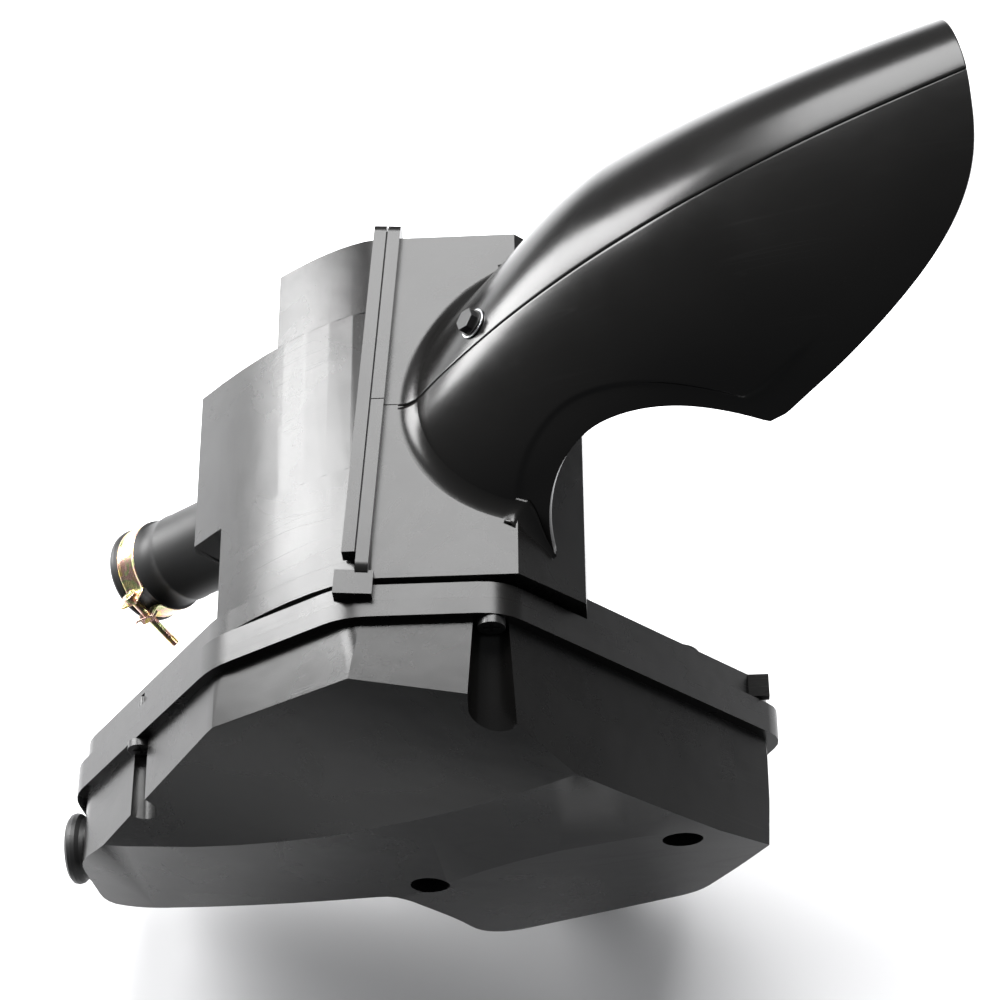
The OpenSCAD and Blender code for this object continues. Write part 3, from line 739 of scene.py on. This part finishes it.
def boot_object(name, bore):
    """The boot turned about its axis: flange on the case, two moulded ribs, lip at the end."""
    r = bore + BOOT_WALL
    z = BOOT_LEN
    profile = [
        (bore - 2, -7), (bore + 8, -7), (bore + 9, -4), (bore + 8, -2.6), (bore + 2.9, -2.6),
        (bore + 2.9, 0.15), (r + 3.6, 0.15), (r + 4, 0.6), (r + 4, 3.4), (r + 3.2, 4.4),
        (r + 1.4, 5.6), (r + 0.5, 8), (r + 0.1, 12), (r, 18), (r, 46), (r + 0.25, 47),
        (r + 0.25, 49), (r, 50), (r, z - 19.4), (r + 1.3, z - 19.0), (r + 1.3, z - 18.4),
        (r, z - 18.2), (r, z - 5.4), (r + 0.9, z - 5), (r + 1.8, z - 4), (r + 2.2, z - 2.6),
        (r + 2.0, z - 1.2), (r + 1.2, z - 0.3), (r, z), (bore + 0.8, z), (bore, z - 0.8),
        (bore, z - 26), (bore - 2, z - 29),
    ]
    return lathe(name, np.array(profile) * MM, PORT, 128)


def band_object(name, bore, width):
    """The band: a strip carried round the boot, bent outward into an ear at both ends.

    Its two long edges curl outward by a small amount, as a pressed band's do.
    """
    r = bore + BOOT_WALL + 0.05
    half = math.asin(4.2 / r)
    turn = np.linspace(half + 0.10, 2.0 * math.pi - half - 0.10, 150)
    ring = np.stack([r * np.sin(turn), r * np.cos(turn)], axis=1)
    ear_low = np.array([4.75, r * math.cos(half) + 1.8])
    ear_high = np.array([4.75, r + 11.0])
    rise = np.linspace(0.0, 1.0, 14)[:, None]
    ear = ear_low + (ear_high - ear_low) * rise
    mirror = np.array([-1.0, 1.0])
    path = np.concatenate([ear[::-1], ring, ear * mirror])
    kernel = np.array([1.0, 2.0, 3.0, 2.0, 1.0]) / 9.0
    for _ in range(2):
        inner = np.stack([np.convolve(path[:, a], kernel, "valid") for a in (0, 1)], axis=1)
        path[2:-2] = inner
    along = np.gradient(path, axis=0)
    along /= np.linalg.norm(along, axis=1, keepdims=True)
    out = np.stack([-along[:, 1], along[:, 0]], axis=1)
    v = np.linspace(-1.0, 1.0, 17)
    curl = 0.45 * ease((np.abs(v) - 0.72) / 0.28)
    grid = path[:, None, :] + out[:, None, :] * curl[None, :, None]
    z = np.broadcast_to(0.5 * width * v, grid.shape[:2])
    skins = []
    for thick in (1.0, 0.0):
        flat = grid + out[:, None, :] * thick
        points = np.concatenate([flat, z[..., None]], axis=2) * MM
        skins.append(placed(points.reshape(-1, 3), CLAMP).reshape(points.shape))
    return shell_object(name, *skins)


def thread_object(name, pitch):
    """A thread sleeve: radius rises and falls once for each pitch along a helix."""
    turns = 26.0 * MM / pitch
    rows = int(turns * 8)
    z = np.linspace(-2.0, 24.0, rows) * MM
    turn = np.linspace(0.0, 2.0 * math.pi, 28, endpoint=False)
    phase = np.mod(z[:, None] / pitch - turn[None, :] / (2.0 * math.pi), 1.0)
    wave = 1.0 - np.abs(2.0 * phase - 1.0)
    radius = (1.78 + 0.34 * wave) * MM
    points = np.stack(
        [
            np.broadcast_to(z[:, None], radius.shape) + 4.2 * MM,
            SCREW_UP * MM + radius * np.cos(turn),
            radius * np.sin(turn),
        ],
        axis=-1,
    )
    loops = placed(points.reshape(-1, 3), CLAMP).reshape(points.shape)
    return tube_object(name, loops)


# ---- Operators ----

FINISHES = {}


def finishes():
    """The materials, made once from the panel's values."""
    if not FINISHES:
        plastic = bpy.context.scene.housing_plastic
        colour, rough = tuple(plastic.colour), plastic.roughness
        FINISHES.update(
            cover=moulded("cover_plastic", colour, rough + 0.01, 0.3),
            case=moulded("case_plastic", colour, rough, 0.25),
            guard=moulded("guard_plastic", colour, rough - 0.05, 0.12, 0.6),
            grid=moulded("grid_plastic", (0.02, 0.02, 0.021), 0.5, 0.4),
            rubber=satin_rubber("boot_rubber", (0.009, 0.009, 0.009), 0.48),
            seal=satin_rubber("seal_rubber", (0.006, 0.006, 0.006), 0.6),
            black=satin_rubber("screw_black", (0.008, 0.008, 0.008), 0.34),
            zinc=plated("steel_zinc", ((0.42, 0.43, 0.45), (0.60, 0.61, 0.63), (0.7, 0.7, 0.68)), 0.3),
            yellow=plated(
                "yellow_zinc",
                ((0.62, 0.50, 0.12), (0.80, 0.62, 0.22), (0.74, 0.42, 0.40), (0.52, 0.62, 0.28),
                 (0.85, 0.70, 0.34)), 0.26,
            ),
            foam=open_foam("foam"),
        )
    return FINISHES


class HOUSING_OT_shells(bpy.types.Operator):
    """Round the edges of the moulded shells and give them their plastic"""

    bl_idname = "housing.shells"
    bl_label = "Moulded Shells"

    def execute(self, context):
        edge = context.scene.housing_plastic.edge
        made = finishes()
        for node, material, width in (
            ("outer_cover", "cover", edge), ("main_case", "case", 0.8 * edge),
            ("front_shell", "case", edge), ("rear_upper_shell", "case", edge),
        ):
            soften_edges(repaint(node, made[material]), width, creases=node != "front_shell")
        return {"FINISHED"}


class HOUSING_OT_guard(bpy.types.Operator):
    """Make both halves of the splash guard and the fillets at its root"""

    bl_idname = "housing.guard"
    bl_label = "Splash Guard"

    def execute(self, context):
        sizes = context.scene.housing_guard
        material = finishes()["guard"]
        for half, lower in (("lower", True), ("upper", False)):
            piece = guard_half(f"guard_{half}_skin", lower, sizes)
            finish(piece, "case", "guard_plastic", material, f"guard_{half}")
            piece = root_fillet(f"guard_{half}_fillet", lower, sizes)
            finish(piece, "case", "guard_plastic", material)
        return {"FINISHED"}


class HOUSING_OT_fasteners(bpy.types.Operator):
    """Finish the screws, bolts, collars and grommets"""

    bl_idname = "housing.fasteners"
    bl_label = "Fasteners"

    def execute(self, context):
        made = finishes()
        for node, material, width in (
            ("cover_screws", "black", 0.0006), ("guard_bolt", "black", 0.0005),
            ("guard_washer", "zinc", 0.0002), ("guard_nut", "zinc", 0.0005),
            ("shell_screws", "zinc", 0.0003), ("retainer_screws", "zinc", 0.0003),
            ("mount_collars", "zinc", 0.0004), ("mount_grommets", "rubber", 0.0004),
        ):
            soften_edges(repaint(node, made[material]), width)
        return {"FINISHED"}


class HOUSING_OT_boot(bpy.types.Operator):
    """Make the carburettor boot and finish its inner ring"""

    bl_idname = "housing.boot"
    bl_label = "Carburettor Boot"

    def execute(self, context):
        made = finishes()
        piece = boot_object("boot_body", context.scene.housing_clamp.bore / MM)
        finish(piece, "case", "boot_rubber", made["rubber"], "carb_boot")
        soften_edges(repaint("boot_ring", made["zinc"]), 0.0003)
        return {"FINISHED"}


class HOUSING_OT_clamp(bpy.types.Operator):
    """Make the hose clamp's band and thread, and finish its screw and nut"""

    bl_idname = "housing.clamp"
    bl_label = "Hose Clamp"

    def execute(self, context):
        made = finishes()
        sizes = context.scene.housing_clamp
        piece = band_object("clamp_strip", sizes.bore / MM, sizes.band / MM)
        finish(piece, "case", "yellow_zinc", made["yellow"], "clamp_band")
        piece = thread_object("clamp_thread", sizes.pitch)
        finish(piece, "clamp_screw", "yellow_zinc", made["yellow"])
        soften_edges(repaint("clamp_screw", made["yellow"]), 0.0004)
        soften_edges(repaint("clamp_nut", made["yellow"]), 0.0006)
        return {"FINISHED"}


class HOUSING_OT_inside(bpy.types.Operator):
    """Finish the filter, the seals, the intake duct and the drain"""

    bl_idname = "housing.inside"
    bl_label = "Filter, Seals and Drain"

    def execute(self, context):
        made = finishes()
        for node, material, width in (
            ("filter_frame", "grid", 0.0003), ("filter_retainer", "grid", 0.0003),
            ("filter_foam", "foam", 0.002), ("cover_seal", "seal", 0.0),
            ("shell_seal", "seal", 0.0), ("intake_duct", "rubber", 0.0),
            ("drain_cap", "rubber", 0.001), ("drain_clip", "zinc", 0.0),
        ):
            piece = repaint(node, made[material])
            if width:
                soften_edges(piece, width)
        return {"FINISHED"}


class HOUSING_OT_stage(bpy.types.Operator):
    """Set the floor, the soft lights and the camera"""

    bl_idname = "housing.stage"
    bl_label = "Studio"

    def execute(self, context):
        studio = context.scene.housing_studio
        scene = context.scene
        reach = 3.0
        front = -0.18
        corners = np.array([(-reach, front), (reach, front), (reach, reach), (-reach, reach)])
        points = np.column_stack([corners, np.full(4, FLOOR_Z - 0.0005)])
        floor = mesh_object("floor", points, np.array([[0, 1, 2, 3]]))
        paint = Paint("floor_paper")
        soft = paint.noise(3.0, 2.0)
        low = tuple(0.985 * c for c in studio.floor)
        paint.set(Base_Color=paint.mix(soft, low, tuple(studio.floor)), Roughness=0.75)
        floor.data.materials.append(paint.material)
        for name, place, aim, size, power in (
            ("key", (0.10, 0.95, 1.45), (0.05, 0.0, 0.1), (1.5, 1.0), studio.key),
            ("left", (-1.25, 0.75, 0.75), (0.0, 0.0, 0.1), (0.5, 1.3), 0.7 * studio.key),
            ("front", (0.0, -0.23, -0.05), (-0.02, -0.09, -0.01), (0.6, 0.08), 0.002 * studio.key),
        ):
            light = bpy.data.lights.new(name, "AREA")
            light.shape = "RECTANGLE"
            light.size, light.size_y = size
            light.energy = power
            lamp = bpy.data.objects.new(name, light)
            scene.collection.objects.link(lamp)
            lamp.location = place
            lamp.rotation_euler = (Vector(aim) - Vector(place)).to_track_quat("-Z", "Y").to_euler()
        world = bpy.data.worlds.new("studio")
        world.use_nodes = True
        tree = world.node_tree
        back = tree.nodes["Background"]
        back.inputs[0].default_value = (0.95, 0.97, 1.0, 1.0)
        seen = tree.nodes.new("ShaderNodeLightPath").outputs["Is Camera Ray"]
        gain = tree.nodes.new("ShaderNodeMath")
        gain.operation = "MULTIPLY_ADD"
        tree.links.new(seen, gain.inputs[0])
        gain.inputs[1].default_value = 0.95 - studio.sky
        gain.inputs[2].default_value = studio.sky
        tree.links.new(gain.outputs[0], back.inputs[1])
        scene.world = world
        scene.view_settings.view_transform = "Standard"
        camera = bpy.data.cameras.new("camera")
        camera.lens = studio.lens
        camera.sensor_width = 36.0
        camera.clip_start = 0.05
        eye = bpy.data.objects.new("camera", camera)
        scene.collection.objects.link(eye)
        right = Vector((0.99836, -0.00756, -0.0567))
        up = Vector((0.03488, 0.866, 0.4988))
        behind = Vector((0.0453, -0.5, 0.8648))
        turn = Matrix((right, up, behind)).transposed().to_quaternion()
        eye.matrix_world = Matrix.Translation((0.1035, -0.6125, 1.2719)) @ turn.to_matrix().to_4x4()
        scene.camera = eye
        return {"FINISHED"}


STEPS = ("shells", "guard", "fasteners", "boot", "clamp", "inside", "stage")


class HOUSING_PT_panel(bpy.types.Panel):
    """Lists the housing's sizes, finishes and steps."""

    bl_idname = "HOUSING_PT_panel"
    bl_label = "Air Filter Housing"
    bl_space_type = "VIEW_3D"
    bl_region_type = "UI"
    bl_category = "Housing"

    def draw(self, context):
        for name in ("plastic", "guard", "clamp", "studio"):
            group = getattr(context.scene, f"housing_{name}")
            box = self.layout.box()
            for key in type(group).__annotations__:
                box.prop(group, key)
        for step in STEPS:
            self.layout.operator(f"housing.{step}")


CLASSES = (
    HousingPlastic, HousingGuard, HousingClamp, HousingStudio,
    HOUSING_OT_shells, HOUSING_OT_guard, HOUSING_OT_fasteners, HOUSING_OT_boot,
    HOUSING_OT_clamp, HOUSING_OT_inside, HOUSING_OT_stage, HOUSING_PT_panel,
)


def register():
    for cls in CLASSES:
        bpy.utils.register_class(cls)
    bpy.types.Scene.housing_plastic = PointerProperty(type=HousingPlastic)
    bpy.types.Scene.housing_guard = PointerProperty(type=HousingGuard)
    bpy.types.Scene.housing_clamp = PointerProperty(type=HousingClamp)
    bpy.types.Scene.housing_studio = PointerProperty(type=HousingStudio)


def unregister():
    for name in ("plastic", "guard", "clamp", "studio"):
        delattr(bpy.types.Scene, f"housing_{name}")
    for cls in reversed(CLASSES):
        bpy.utils.unregister_class(cls)


def main():
    """Registers the add-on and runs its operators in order."""
    register()
    for step in STEPS:
        getattr(bpy.ops.housing, step)()


if __name__ == "__main__":
    main()
